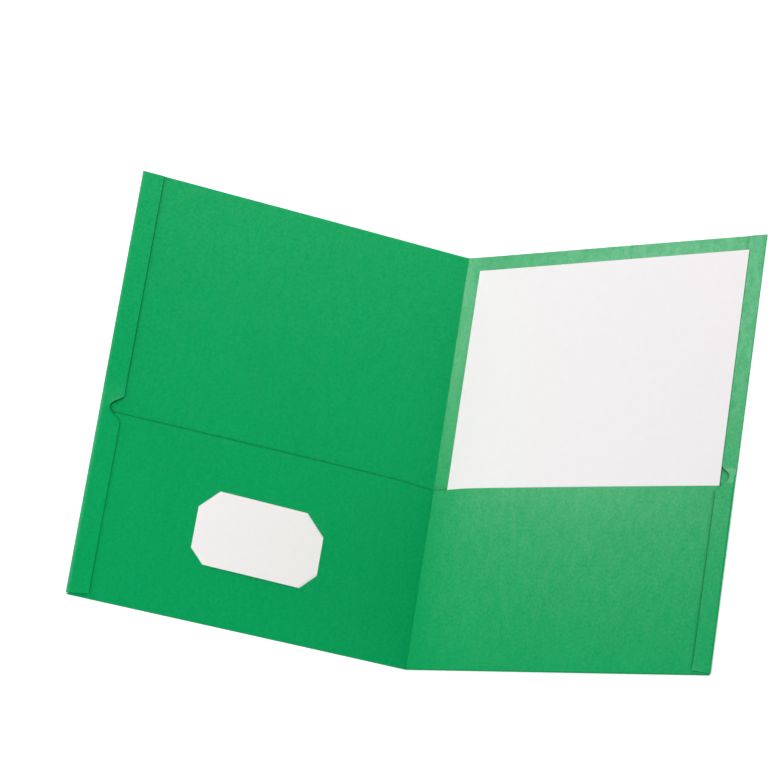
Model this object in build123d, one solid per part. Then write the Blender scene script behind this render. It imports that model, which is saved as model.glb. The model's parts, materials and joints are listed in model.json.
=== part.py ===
"""Two pocket folder: one die-cut sheet of cover stock, creased at the spine, folded up into
two pockets and folded in along both open edges, with a card in the front pocket's slits and
a sheet of paper in the back pocket.

Each panel is drawn lying open: X runs from the spine to the open edge, Y from the bottom
fold to the top edge and Z from the outside face inwards. The back panel stays as drawn. The
front panel is mirrored across the spine and raised about the crease. Last of all the whole
folder is shifted so that its origin is the centre of the back cover's outside face.
"""

import os
from math import acos, atan2, cos, degrees, hypot, sin

from build123d import *

# Letter sheet in the back pocket, in millimetres, and the room that the covers leave round it
sheet_width = 215.9
sheet_length = 279.4
sheet_stock = 0.15
sheet_clearance = 0.1
sheet_spine_margin = 10.8
sheet_edge_margin = 12.1
sheet_foot_margin = 2.7
sheet_head_margin = 10.0

# Cover stock, and the angle between the covers as the folder stands, in degrees
stock = 0.36
opening_angle = 121.7

# Pockets: the height of the mouth at the spine, and how far it falls towards each open edge
mouth_height = 126.2
front_mouth_fall = 1.0
back_mouth_fall = 2.9

# Hems: the strip folded in along each open edge, and the glue film under it
hem_width = 14.8
hem_foot_slant = 2.3
hem_foot_gap = 0.3
fold_land = 2.0
corner_relief = 0.8
glue_film = 0.05
glue_inset = 2.4
glue_end_gap = 4.0

# Thumb notch cut into each hem at the pocket mouth
notch_height = 17.2
notch_depth = 8.5
notch_radius = 4.7
notch_corner_radius = 1.2
notch_rise = 2.2
ramp_gap = 0.6

# Business card, and how far it sits off the middle of its slits and out of square
card_width = 88.9
card_height = 50.8
card_stock = 0.3
card_clearance = 0.06
card_shift = -0.4
card_lift = 1.55
card_turn = 0.7

# Slits across the corners of the card's place on the front pocket
slit_from_spine = 117.2
slit_from_bottom = 62.15
slit_leg = 11.7
slit_clearance = 0.15
slit_end_gap = 0.6

# Size of each cover
panel_width = sheet_spine_margin + sheet_width + sheet_edge_margin
panel_height = sheet_foot_margin + sheet_length + sheet_head_margin

# Levels above a panel's outside face
upper_hem_level = stock + glue_film
sheet_level = upper_hem_level + stock + sheet_clearance
pocket_level = sheet_level + sheet_stock + sheet_clearance
pocket_top = pocket_level + stock
lower_hem_level = pocket_top + glue_film
card_tab_level = pocket_level - card_clearance - card_stock
card_face_level = pocket_top + card_clearance

# The spine turns about the line where the two flaps' inside faces meet
crease = Axis((0, 0, pocket_top), (0, 1, 0))
raised_angle = 180 - opening_angle

# Edges that several pieces share
bottom_fold_radius = pocket_top / 2
panel_end = panel_width - fold_land
hem_edge = panel_width - hem_width
hem_foot_outer = bottom_fold_radius + hem_foot_gap
hem_foot_inner = hem_foot_outer + hem_foot_slant
notch_centre = mouth_height + notch_rise
notch_top = notch_centre + notch_height / 2
notch_bottom = notch_centre - notch_height / 2
ramp_top = notch_centre + notch_radius


def slab(outline, level, thickness):
    """A flat piece of the given outline, lying at a level above the outside face."""
    return extrude(Plane.XY.offset(level) * outline, thickness)


def plate(left, bottom, right, top, level, thickness):
    """A flat rectangular piece between two edges across and two edges up."""
    outline = Pos((left + right) / 2, (bottom + top) / 2) * Rectangle(right - left, top - bottom)
    return slab(outline, level, thickness)


def mouth_at(across, fall):
    """Height of a pocket's mouth at a distance from the spine."""
    return mouth_height - fall * across / panel_width


def cover():
    """The panel between the spine, the bottom fold, the hem's fold and the top edge."""
    return plate(0, bottom_fold_radius, panel_end, panel_height, 0, stock)


def pocket(fall):
    """The flap, from the bottom fold to its mouth, which falls a little towards the edge."""
    outline = Polygon(
        (0, bottom_fold_radius),
        (panel_end, bottom_fold_radius),
        (panel_end, mouth_at(panel_end, fall)),
        (0, mouth_height),
        align=None,
    )
    return slab(outline, pocket_level, stock)


def fold_ring():
    """Section of the bottom fold: half a ring of stock, seen along the fold."""
    middle = (bottom_fold_radius, bottom_fold_radius)
    ring = Circle(bottom_fold_radius) - Circle(bottom_fold_radius - stock)
    half = Pos(-bottom_fold_radius / 2, 0) * Rectangle(bottom_fold_radius, 2 * bottom_fold_radius)
    return Pos(*middle) * (ring & half)


def bottom_fold():
    """The fold that turns the cover up into its pocket flap."""
    return extrude(Plane.YZ * fold_ring(), panel_width - corner_relief)


def strip_section(level):
    """Section across the hem's flat strip at a level."""
    return Polygon(
        (hem_edge, level),
        (panel_end, level),
        (panel_end, level + stock),
        (hem_edge, level + stock),
        align=None,
    )


def edge_section(level):
    """Section across the open edge's fold, from the cover round to a strip at a level."""
    radius = (level + stock) / 2
    turn = panel_width - radius
    top = level + stock
    outside = ThreePointArc((turn, 0), (panel_width, radius), (turn, top))
    over = Polyline((turn, top), (panel_end, top), (panel_end, level), (turn, level))
    inside = ThreePointArc((turn, level), (panel_width - stock, radius), (turn, stock))
    under = Polyline((turn, stock), (panel_end, stock), (panel_end, 0), (turn, 0))
    return make_face(Curve() + [outside, over, inside, under])


def along_edge(section, fall):
    """Carries a section up the open edge, down from the flap's level to the cover's."""
    ramp_foot = mouth_at(hem_edge, fall) + ramp_gap
    stations = (
        (0, lower_hem_level),
        (ramp_foot, lower_hem_level),
        (ramp_top, upper_hem_level),
        (panel_height, upper_hem_level),
    )
    sections = []
    for up, level in stations:
        across = Plane((0, up, 0), x_dir=(1, 0, 0), z_dir=(0, -1, 0))
        sections.append(across * section(level))
    foot = Polygon(
        (hem_edge, 0),
        (panel_width, 0),
        (panel_width, hem_foot_outer),
        (hem_edge, hem_foot_inner),
        align=None,
    )
    return loft(sections, ruled=True) - slab(foot, 0, lower_hem_level + stock)


def notch():
    """Outline of the thumb notch: two slanted flanks that run into a round bottom."""
    depth_of_centre = notch_depth - notch_radius
    corner_up = notch_height / 2
    corner_angle = atan2(corner_up, -depth_of_centre)
    touch_angle = corner_angle - acos(notch_radius / hypot(depth_of_centre, corner_up))
    touch_across = depth_of_centre + notch_radius * cos(touch_angle)
    touch_up = notch_radius * sin(touch_angle)
    flanks = Polyline(
        (touch_across, touch_up), (0, corner_up), (0, -corner_up), (touch_across, -touch_up)
    )
    bottom = ThreePointArc((touch_across, -touch_up), (notch_depth, 0), (touch_across, touch_up))
    return Pos(hem_edge, notch_centre) * make_face(Curve() + [flanks, bottom])


def on_notch_corner(edge):
    """True for the upright edges where the notch meets the strip's inner edge."""
    middle = edge.center()
    on_edge = abs(middle.X - hem_edge) < stock
    on_corner = min(abs(middle.Y - notch_top), abs(middle.Y - notch_bottom)) < stock
    return on_edge and on_corner


def hem(fall):
    """The hem's strip, notched at the pocket mouth, with the notch's corners rounded."""
    strip = along_edge(strip_section, fall)
    strip -= slab(notch(), 0, lower_hem_level + stock)
    corners = strip.edges().filter_by(Axis.Z).filter_by(on_notch_corner)
    return fillet(corners, notch_corner_radius)


def edge_fold(fall):
    """The round fold along the open edge, between the cover and the hem's strip."""
    return along_edge(edge_section, fall)


def glue(bottom, top, level):
    """A film of glue under one stretch of the hem."""
    left = hem_edge + glue_inset
    right = panel_end - glue_inset
    return plate(left, bottom + glue_end_gap, right, top - glue_end_gap, level, glue_film)


def cover_glue():
    """Glue between the hem and the cover, above the notch."""
    return glue(notch_top, panel_height, stock)


def pocket_glue():
    """Glue between the hem and the pocket flap, below the notch."""
    return glue(hem_foot_inner, notch_bottom, pocket_top)


def letter_sheet():
    """A sheet of paper standing in the back pocket, over the upper part of the hem."""
    right = sheet_spine_margin + sheet_width
    top = sheet_foot_margin + sheet_length
    return plate(sheet_spine_margin, sheet_foot_margin, right, top, sheet_level, sheet_stock)


def card_outline():
    """The whole card, a little turned, in its place on the front pocket."""
    place = Pos(slit_from_spine + card_shift, slit_from_bottom + card_lift)
    return place * Rot(0, 0, card_turn) * Rectangle(card_width, card_height)


def slit_places():
    """Frames of the four slits: X along the slit, Y out towards the card's corner."""
    places = []
    for side in (-1, 1):
        for end in (-1, 1):
            across = slit_from_spine + side * (card_width - slit_leg) / 2
            up = slit_from_bottom + end * (card_height - slit_leg) / 2
            outwards = degrees(atan2(end, side))
            places.append(Pos(across, up) * Rot(0, 0, outwards - 90))
    return places


def band(place, low, high):
    """A long strip along a slit, between two distances out from its centre line."""
    reach = hypot(card_width, card_height)
    return place * Pos(0, (low + high) / 2) * Rectangle(reach, high - low)


def business_card():
    """The card: its face over the flap, a step through each slit and a tab behind it."""
    outline = card_outline()
    reach = hypot(card_width, card_height)
    half = card_stock / 2
    face_outline = outline
    for place in slit_places():
        face_outline -= band(place, half, reach)
    card = slab(face_outline, card_face_level, card_stock)
    for place in slit_places():
        step = outline & band(place, -half, half)
        tab = outline & band(place, -half, reach)
        card += slab(step, card_tab_level, card_face_level + card_stock - card_tab_level)
        card += slab(tab, card_tab_level, card_stock)
    return card


def front_pocket():
    """The front flap, cut with a slit for each corner of the card."""
    flap = pocket(front_mouth_fall)
    slit_width = card_stock + 2 * slit_clearance
    for place in slit_places():
        crossing = card_outline() & band(place, -slit_width / 2, slit_width / 2)
        chord = (place.inverse() * crossing).bounding_box()
        length = chord.size.X + 2 * slit_end_gap
        cut = place * Pos(chord.center().X, 0) * Rectangle(length, slit_width)
        flap -= slab(cut, pocket_level, stock)
    return flap


def spine_crease():
    """The cover layer's bend along the spine, round the crease line."""
    section = Pos((bottom_fold_radius + panel_height) / 2, stock / 2)
    section *= Rectangle(panel_height - bottom_fold_radius, stock)
    return revolve(Plane.YZ * section, crease, raised_angle)


def pocket_crease():
    """The pocket layer's bend along the spine, with the bottom fold's bend under it."""
    section = Pos((bottom_fold_radius + mouth_height) / 2, pocket_level + stock / 2)
    section *= Rectangle(mouth_height - bottom_fold_radius, stock)
    return revolve(Plane.YZ * (section + fold_ring()), crease, raised_angle)


def front(piece):
    """Mirrors a panel's piece across the spine and raises it about the crease."""
    return mirror(piece, about=Plane.YZ).rotate(crease, raised_angle)


def main():
    """Builds every piece and writes each to its own file."""
    pieces = {
        "back_cover": cover(),
        "back_pocket": pocket(back_mouth_fall),
        "back_bottom_fold": bottom_fold(),
        "back_edge_fold": edge_fold(back_mouth_fall),
        "back_hem": hem(back_mouth_fall),
        "back_cover_glue": cover_glue(),
        "back_pocket_glue": pocket_glue(),
        "letter_sheet": letter_sheet(),
        "spine_crease": spine_crease(),
        "pocket_crease": pocket_crease(),
        "front_cover": front(cover()),
        "front_pocket": front(front_pocket()),
        "front_bottom_fold": front(bottom_fold()),
        "front_edge_fold": front(edge_fold(front_mouth_fall)),
        "front_hem": front(hem(front_mouth_fall)),
        "front_cover_glue": front(cover_glue()),
        "front_pocket_glue": front(pocket_glue()),
        "business_card": front(business_card()),
    }
    to_origin = Pos(-panel_width / 2, -panel_height / 2, 0)
    os.makedirs("parts", exist_ok=True)
    for name, piece in pieces.items():
        export_step(to_origin * piece, os.path.join("parts", name + ".step"))


main()
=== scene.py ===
"""A two pocket folder of green cover stock, dressed and lit for a studio picture.

The folder is one sheet of stock, creased at the spine, folded up along the bottom into two
pockets and folded in along both open edges. Its pieces are worked out in panel coordinates, in
millimetres: u runs from the spine to the open edge, v from the bottom fold to the top edge and
w from the outside face inwards. A panel then places them in the shared frame, in metres.
"""

from __future__ import annotations

import json
import logging
import math
from dataclasses import dataclass
from enum import Enum
from typing import Optional, Union

import bpy
import numpy as np
from mathutils import Matrix, Vector


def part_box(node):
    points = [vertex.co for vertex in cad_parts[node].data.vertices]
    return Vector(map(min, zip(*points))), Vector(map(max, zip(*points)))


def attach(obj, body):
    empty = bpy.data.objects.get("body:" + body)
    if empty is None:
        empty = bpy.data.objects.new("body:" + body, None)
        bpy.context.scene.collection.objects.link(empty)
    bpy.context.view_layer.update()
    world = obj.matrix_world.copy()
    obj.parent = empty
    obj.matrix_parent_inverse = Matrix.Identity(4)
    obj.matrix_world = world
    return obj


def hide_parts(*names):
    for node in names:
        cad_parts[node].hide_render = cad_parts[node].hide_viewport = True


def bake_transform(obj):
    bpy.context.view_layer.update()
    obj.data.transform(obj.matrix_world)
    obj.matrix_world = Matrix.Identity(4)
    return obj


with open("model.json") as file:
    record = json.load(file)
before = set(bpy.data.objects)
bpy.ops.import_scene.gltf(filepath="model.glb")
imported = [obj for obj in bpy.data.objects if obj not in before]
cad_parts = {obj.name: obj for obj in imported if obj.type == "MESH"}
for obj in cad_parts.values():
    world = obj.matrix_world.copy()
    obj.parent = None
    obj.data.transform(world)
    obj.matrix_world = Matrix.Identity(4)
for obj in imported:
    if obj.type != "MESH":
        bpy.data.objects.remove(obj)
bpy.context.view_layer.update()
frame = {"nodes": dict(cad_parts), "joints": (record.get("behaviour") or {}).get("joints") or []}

MILLIMETRE = 0.001
SHARP_ANGLE = math.radians(35)
FAR_OFF = 100.0
SPINE_GAP = 0.03
BLACK = (0.0, 0.0, 0.0, 1.0)
MIX_SHARE, MIX_FIRST, MIX_SECOND, MIX_COLOUR = 0, 6, 7, 2

Array = np.ndarray
Number = Union[float, Array]
log = logging.getLogger("folder")


class Side(Enum):
    """The two panels, by the names of the bodies that carry them."""

    FRONT = "front"
    BACK = "back"


def eased(count: int) -> Array:
    """Values from 0 to 1, closer together at both ends: half of one minus the cosine."""
    return 0.5 - 0.5 * np.cos(np.linspace(0.0, np.pi, count))


def off_spine(end: float, count: int) -> Array:
    """A row of distances from the spine, from just off it to a piece's far end."""
    return (SPINE_GAP + (end - SPINE_GAP) * eased(count))[None, :]


def smooth_step(low: float, high: float, value: Number) -> Number:
    """Rises from 0 at low to 1 at high along three t squared minus two t cubed."""
    t = np.clip((value - low) / (high - low), 0.0, 1.0)
    return t * t * (3.0 - 2.0 * t)


def lattice(index: Array) -> Array:
    """Four point numbers for each quad between neighbouring entries of a grid of numbers."""
    corners = (index[:-1, :-1], index[:-1, 1:], index[1:, 1:], index[1:, :-1])
    return np.stack(corners, axis=-1).reshape(-1, 4)


def plain_grid(rows: int, columns: int) -> Array:
    """Quads of a grid whose points are numbered row by row."""
    return lattice(np.arange(rows * columns).reshape(rows, columns))


def wall_quads(quads: Array, count: int) -> Array:
    """Quads that join the two faces of a sheet along its free edges.

    A free edge is one that no other quad runs along the opposite way.

    Args:
        quads: the sheet's own quads.
        count: how many points one face has.

    Returns:
        Four point numbers for each wall quad, the second face numbered after the first.
    """
    start = quads.ravel()
    end = np.roll(quads, -1, axis=1).ravel()
    free = ~np.isin(start * count + end, end * count + start)
    first, last = start[free], end[free]
    return np.stack((first, last, last + count, first + count), axis=-1)


def enclosed_volume(points: Array, quads: Array) -> float:
    """Six times the signed volume inside a closed skin, by its corner tetrahedra.

    Args:
        points: the skin's points.
        quads: the skin's quads.

    Returns:
        A positive number where the quads face outwards.
    """
    a, b, c, d = (points[quads[:, corner]] for corner in range(4))
    halves = np.einsum("ij,ij->i", a, np.cross(b, c)) + np.einsum("ij,ij->i", a, np.cross(c, d))
    return float(halves.sum())


def sheet_object(
    name: str, under: Array, over: Array, quads: Array, marks: Optional[dict[str, Array]] = None
) -> bpy.types.Object:
    """Closes two faces of a sheet into one skin and puts it into the scene.

    The over face keeps the quads, the under face turns them round, and walls stand along the
    free edges. Walls take the second material, as the stock's cut edge.

    Args:
        name: the new object's name.
        under: points of the under face, in metres.
        over: points of the over face, in the same order.
        quads: quads of one face.
        marks: values for the finish to read, by name: one row of points for each face, and a
            last axis of three where the value is a vector.

    Returns:
        The new object, at the origin.
    """
    under, over = under.reshape(-1, 3), over.reshape(-1, 3)
    used, quads = np.unique(quads, return_inverse=True)
    quads = quads.reshape(-1, 4)
    count = len(used)
    points = np.concatenate((under[used], over[used]))
    walls = wall_quads(quads, count)
    faces = np.concatenate((quads[:, ::-1], quads + count, walls))
    if enclosed_volume(points, faces) < 0:
        faces = faces[:, ::-1]
    mesh = bpy.data.meshes.new(name)
    mesh.vertices.add(len(points))
    mesh.vertices.foreach_set("co", points.astype(np.float32).ravel())
    mesh.loops.add(faces.size)
    mesh.loops.foreach_set("vertex_index", faces.astype(np.int32).ravel())
    mesh.polygons.add(len(faces))
    mesh.polygons.foreach_set("loop_start", np.arange(0, faces.size, 4, dtype=np.int32))
    cut = np.zeros(len(faces), dtype=np.int32)
    cut[2 * len(quads):] = 1
    mesh.polygons.foreach_set("material_index", cut)
    mesh.polygons.foreach_set("use_smooth", np.ones(len(faces), dtype=bool))
    mesh.update(calc_edges=True)
    mesh.set_sharp_from_angle(angle=SHARP_ANGLE)
    for mark, values in (marks or {}).items():
        kind, field = ("FLOAT_VECTOR", "vector") if values.ndim == 3 else ("FLOAT", "value")
        attribute = mesh.attributes.new(mark, kind, "POINT")
        attribute.data.foreach_set(field, values[:, used].astype(np.float32).ravel())
    piece = bpy.data.objects.new(name, mesh)
    bpy.context.scene.collection.objects.link(piece)
    return piece


def stock_marks(
    shape: tuple,
    wear_and_highlight_share: Number = 0.0,
    hem: Number = FAR_OFF,
    mouth: Number = FAR_OFF,
    notch: Number = FAR_OFF,
) -> dict[str, Array]:
    """What the stock's finish reads at each point of a sheet.

    Distances are signed and in millimetres, so that they stay exact between points, and place
    the painted shade along the seams. They hold on the over face, and the under face is far from
    every seam.

    Args:
        shape: rows and columns of the sheet's points.
        wear_and_highlight_share: how much a point lies on a paler fold or edge, from 0 to 1, partly real
            wear and partly a painted highlight.
        hem: distance from the hem's inner edge.
        mouth: distance from the pocket's mouth.
        notch: height above the notch's middle.

    Returns:
        Values by name, for sheet_object.
    """
    places = np.stack([np.broadcast_to(part, shape).ravel() for part in (hem, mouth, notch)], axis=-1)
    wear_and_highlight = np.broadcast_to(wear_and_highlight_share, shape).ravel()
    return {
        "fold_wear_and_highlight": np.stack((wear_and_highlight, wear_and_highlight)),
        "seam_place": np.stack((np.full_like(places, FAR_OFF), places)),
    }


@dataclass(frozen=True)
class Folder:
    """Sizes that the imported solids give, in millimetres, and the panels' places."""

    spine_x: float
    foot_y: float
    crease_level: float
    raised: float
    width: float
    height: float
    stock: float
    panel_end: float
    bottom_end: float
    pocket_level: float
    mouth_height: float
    hem_edge: float
    upper_hem: float
    lower_hem: float

    @classmethod
    def from_frame(cls) -> Folder:
        """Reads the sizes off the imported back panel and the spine's joint.

        The joint's lower stop is the folder lying flat open, so it gives the raised angle.

        Returns:
            The folder's sizes.
        """
        joint = next(j for j in frame["joints"] if j["name"] == "spine_fold")
        axis = [value / MILLIMETRE for value in joint["pos_m"]]
        boxes = {}
        for node in ("back_cover", "back_pocket", "back_bottom_fold", "back_edge_fold", "back_hem"):
            boxes[node] = [np.array(corner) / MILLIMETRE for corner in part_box(node)]
        cover_low, cover_high = boxes["back_cover"]
        pocket_low, pocket_high = boxes["back_pocket"]
        fold_low, fold_high = boxes["back_bottom_fold"]
        hem_low, hem_high = boxes["back_hem"]
        stock = cover_high[2] - cover_low[2]
        return cls(
            spine_x=axis[0],
            foot_y=fold_low[1],
            crease_level=axis[2],
            raised=math.radians(-joint["range_deg"][0]),
            width=boxes["back_edge_fold"][1][0] - axis[0],
            height=cover_high[1] - fold_low[1],
            stock=stock,
            panel_end=cover_high[0] - axis[0],
            bottom_end=fold_high[0] - axis[0],
            pocket_level=pocket_low[2],
            mouth_height=pocket_high[1] - fold_low[1],
            hem_edge=hem_low[0] - axis[0],
            upper_hem=hem_low[2],
            lower_hem=hem_high[2] - stock,
        )

    @property
    def pocket_top(self) -> float:
        """Level of a flap's inside face."""
        return self.pocket_level + self.stock

    @property
    def fold_radius(self) -> float:
        """Outside radius of the bottom fold."""
        return self.pocket_top / 2

    def around_spine(self, turned: Number, reach: Number, v: Number) -> Array:
        """Points round the crease line, at an angle from straight down and a distance.

        Args:
            turned: angle from the back panel's side towards the front panel's, in radians.
            reach: distance from the crease line.
            v: height up the spine.

        Returns:
            Points in metres.
        """
        turned, reach, v = np.broadcast_arrays(turned, reach, v)
        x = self.spine_x - reach * np.sin(turned)
        z = self.crease_level - reach * np.cos(turned)
        return np.stack((x, v + self.foot_y, z), axis=-1) * MILLIMETRE

    def place(self, side: Side, u: Number, v: Number, w: Number) -> Array:
        """Turns panel coordinates into points of the frame.

        The back panel lies flat. The front panel is its mirror image, raised about the crease.

        Args:
            side: which panel.
            u: distance from the spine.
            v: height above the bottom fold.
            w: level above the outside face.

        Returns:
            Points in metres.
        """
        u, v, w = np.broadcast_arrays(u, v, w)
        above = w - self.crease_level
        if side is Side.BACK:
            x, z = self.spine_x + u, w
        else:
            sine, cosine = math.sin(self.raised), math.cos(self.raised)
            x = self.spine_x - u * cosine + above * sine
            z = self.crease_level + u * sine + above * cosine
        return np.stack((x, v + self.foot_y, z), axis=-1) * MILLIMETRE

    def faces(self, side: Side, u: Number, v: Number, level: Number, thick: float) -> tuple[Array, Array]:
        """Under and over faces, in metres, of a sheet that lies at a level of a panel."""
        return self.place(side, u, v, level), self.place(side, u, v, level + thick)

    def chord(self, reach: float) -> tuple[Vector, Vector]:
        """The back and front ends, in metres, of the bend at a distance from the crease line."""
        ends = self.around_spine(np.array((0.0, self.raised)), reach, self.height / 2)
        return Vector(ends[0]), Vector(ends[1])


@dataclass(frozen=True)
class Stiffness:
    """How far the stock stands off the flat, in millimetres.

    Each panel bows a little between its spine and its edge, as half a sine wave.
    """

    front_bow: float = 0.35
    back_bow: float = 0.12

    def bow(self, folder: Folder, side: Side, u: Number) -> Number:
        """Bow of a whole panel at a distance from the spine."""
        height = self.front_bow if side is Side.FRONT else self.back_bow
        return height * np.sin(np.pi * np.clip(u / folder.width, 0.0, 1.0))


@dataclass(frozen=True)
class MouthLine:
    """The upper edges of the two pockets, in millimetres.

    Each falls along a straight line from the spine to the open edge, and dips beside the spine
    by a bell curve, where the flap is pulled across the crease.
    """

    folder: Folder
    set_down: float = 0.35
    front_fall: float = 1.0
    back_fall: float = 2.9
    spine_dip: float = 1.5
    dip_reach: float = 18.0
    # How far above the mouth the middle of its painted shade line lies.
    shade_line_shift: float = 0.25

    def straight(self, side: Side, u: Number) -> Number:
        """Height of a mouth at a distance from the spine, without the dip."""
        fall = self.front_fall if side is Side.FRONT else self.back_fall
        return self.folder.mouth_height - self.set_down - fall * u / self.folder.width

    def dip(self, u: Number) -> Number:
        """Depth of the dip at a distance from the spine."""
        return self.spine_dip * np.exp(-((u / self.dip_reach) ** 2))

    def height(self, side: Side, u: Number) -> Number:
        """Height of a mouth at a distance from the spine."""
        return self.straight(side, u) - self.dip(u)

    def shade_line_height(self, side: Side, u: Number) -> Number:
        """Height of the middle of the painted shade line that a mouth makes on the cover."""
        return self.height(side, u) + self.shade_line_shift


class Field:
    """A node's output that takes part in Python arithmetic, each step adding a Math node."""

    def __init__(self, graph: Graph, socket: bpy.types.NodeSocket) -> None:
        """Keeps the socket and the graph that it belongs to."""
        self.graph = graph
        self.socket = socket

    def __add__(self, other: Value) -> Field:
        """This plus other."""
        return self.graph.maths("ADD", self, other)

    def __radd__(self, other: Value) -> Field:
        """Other plus this."""
        return self.graph.maths("ADD", other, self)

    def __sub__(self, other: Value) -> Field:
        """This minus other."""
        return self.graph.maths("SUBTRACT", self, other)

    def __rsub__(self, other: Value) -> Field:
        """Other minus this."""
        return self.graph.maths("SUBTRACT", other, self)

    def __mul__(self, other: Value) -> Field:
        """This times other."""
        return self.graph.maths("MULTIPLY", self, other)

    def __rmul__(self, other: Value) -> Field:
        """Other times this."""
        return self.graph.maths("MULTIPLY", other, self)


Value = Union[Field, float, tuple]


class Graph:
    """The node tree of one material or of the world."""

    def __init__(self, tree: bpy.types.NodeTree) -> None:
        """Takes a node tree and empties it."""
        self.tree = tree
        tree.nodes.clear()

    @classmethod
    def of_material(cls, name: str) -> tuple[bpy.types.Material, Graph]:
        """Makes a new material with an empty graph.

        Args:
            name: the material's name.

        Returns:
            The material and its graph.
        """
        material = bpy.data.materials.new(name)
        material.use_nodes = True
        return material, cls(material.node_tree)

    def add(self, kind: str, settings: dict, sockets: dict, output: Union[str, int] = 0) -> Field:
        """Adds any node.

        Args:
            kind: the node's type.
            settings: its settings, which are set first.
            sockets: values or links for its inputs, by name or number.
            output: the output to hand on.

        Returns:
            That output.
        """
        node = self.tree.nodes.new(kind)
        for name, value in settings.items():
            setattr(node, name, value)
        for key, value in sockets.items():
            if isinstance(value, Field):
                self.tree.links.new(value.socket, node.inputs[key])
            else:
                node.inputs[key].default_value = value
        if not node.outputs:
            return Field(self, node.inputs[0])
        return Field(self, node.outputs[output])

    def maths(self, operation: str, first: Value, second: Value) -> Field:
        """Adds a Math node on two values."""
        return self.add("ShaderNodeMath", {"operation": operation}, {0: first, 1: second})

    def mix(self, share: Value, first: Value, second: Value) -> Field:
        """Mixes two colours, the second by its share.

        Args:
            share: the second colour's share, from 0 to 1.
            first: one colour.
            second: the other.

        Returns:
            The mixed colour.
        """
        settings = {"data_type": "RGBA", "clamp_factor": True}
        sockets = {MIX_SHARE: share, MIX_FIRST: first, MIX_SECOND: second}
        return self.add("ShaderNodeMix", settings, sockets, MIX_COLOUR)

    def stretched(self, where: Field, size: tuple) -> Field:
        """Object coordinates counted in steps of a size in millimetres along each axis."""
        scale = tuple(1.0 / (step * MILLIMETRE) for step in size)
        return self.add("ShaderNodeMapping", {}, {"Vector": where, "Scale": scale}, "Vector")

    def noise(self, where: Field, size: tuple, detail: float, rough: float = 0.5) -> Field:
        """Noise from 0 to 1 whose lumps have a size along each axis.

        Args:
            where: the place on the piece.
            size: the lumps' size in millimetres.
            detail: how many finer layers are laid over the lumps.
            rough: how strong each finer layer is beside the last.

        Returns:
            The noise.
        """
        sockets = {
            "Vector": self.stretched(where, size),
            "Scale": 1.0,
            "Detail": detail,
            "Roughness": rough,
        }
        return self.add("ShaderNodeTexNoise", {"noise_dimensions": "3D"}, sockets, "Fac")

    def split(self, vector: Field) -> tuple[Field, Field, Field]:
        """The three parts of a vector."""
        first = self.add("ShaderNodeSeparateXYZ", {}, {"Vector": vector})
        return tuple(Field(self, socket) for socket in first.socket.node.outputs)

    def fading(self, gap: Field, reach: float) -> Field:
        """One at a gap of nothing, dying away on both sides as an exponential."""
        steps = self.maths("ABSOLUTE", gap, 0.0) * (-1.0 / reach)
        return self.maths("EXPONENT", steps, 0.0)

    def where(self) -> Field:
        """The place on a piece, in its own coordinates."""
        return self.add("ShaderNodeTexCoord", {}, {}, "Object")

    def mark(self, name: str, output: str) -> Field:
        """A value that a piece's mesh carries by name."""
        return self.add("ShaderNodeAttribute", {"attribute_name": name}, {}, output)

    def relief(self, height: Field, depth: float, strength: float) -> Field:
        """A normal that leans with a height, of a depth in metres."""
        sockets = {"Strength": strength, "Distance": depth, "Height": height}
        return self.add("ShaderNodeBump", {}, sockets)

    def surface(self, sockets: dict) -> None:
        """Sends a principled shader with these inputs to the material's output."""
        shader = self.add("ShaderNodeBsdfPrincipled", {}, sockets)
        self.add("ShaderNodeOutputMaterial", {}, {"Surface": shader})


def colour(red: int, green: int, blue: int) -> tuple[float, float, float, float]:
    """A colour as it looks on a screen, turned into light by the standard screen curve.

    The curve is a straight line near black and a power of 2.4 above it.

    Args:
        red: from 0 to 255.
        green: from 0 to 255.
        blue: from 0 to 255.

    Returns:
        Linear red, green, blue and an alpha of 1.
    """
    shown = np.array((red, green, blue)) / 255.0
    light = np.where(shown <= 0.04045, shown / 12.92, ((shown + 0.055) / 1.055) ** 2.4)
    return (*(float(part) for part in light), 1.0)


@dataclass(frozen=True)
class Notch:
    """Thumb notch: slanted flanks that run into a round, with eased outer corners."""

    height: float = 17.2
    depth: float = 8.5
    radius: float = 4.7
    corner_radius: float = 1.2
    rise: float = 2.2
    steps: int = 13

    def middle(self, folder: Folder) -> float:
        """Height of the notch's middle above the bottom fold."""
        return folder.mouth_height + self.rise

    @property
    def centre(self) -> float:
        """Depth of the round's centre."""
        return self.depth - self.radius

    @property
    def touch(self) -> float:
        """Angle at the round's centre, from straight in, to where a flank touches the round."""
        half = self.height / 2
        return math.atan2(half, -self.centre) - math.acos(self.radius / math.hypot(self.centre, half))

    def upper_half(self) -> tuple[Array, Array]:
        """Outline from the deepest point up to the strip's edge.

        It is an arc of the round, a straight flank that touches it, and an arc that eases the
        corner between the flank and the edge.

        Returns:
            Depths into the strip and heights above the notch's middle.
        """
        centre, touch, half = self.centre, self.touch, self.height / 2
        round_angle = np.linspace(0.0, touch, self.steps)
        flank_rise = half - self.radius * math.sin(touch)
        flank_run = centre + self.radius * math.cos(touch)
        turn = math.pi / 2 - math.atan2(flank_rise, flank_run)
        tangent = self.corner_radius * math.tan(turn / 2)
        ease_angle = np.linspace(math.pi + turn, math.pi, self.steps)
        round_part = np.stack((
            centre + self.radius * np.cos(round_angle),
            self.radius * np.sin(round_angle),
        ))
        ease_part = np.stack((
            self.corner_radius * (1.0 + np.cos(ease_angle)),
            half + tangent + self.corner_radius * np.sin(ease_angle),
        ))
        flank = np.linspace(round_part[:, -1], ease_part[:, 0], self.steps, axis=-1)[:, 1:-1]
        depth, height = np.concatenate((round_part, flank, ease_part), axis=1)
        return depth, height


NOTCH = Notch()


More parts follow.
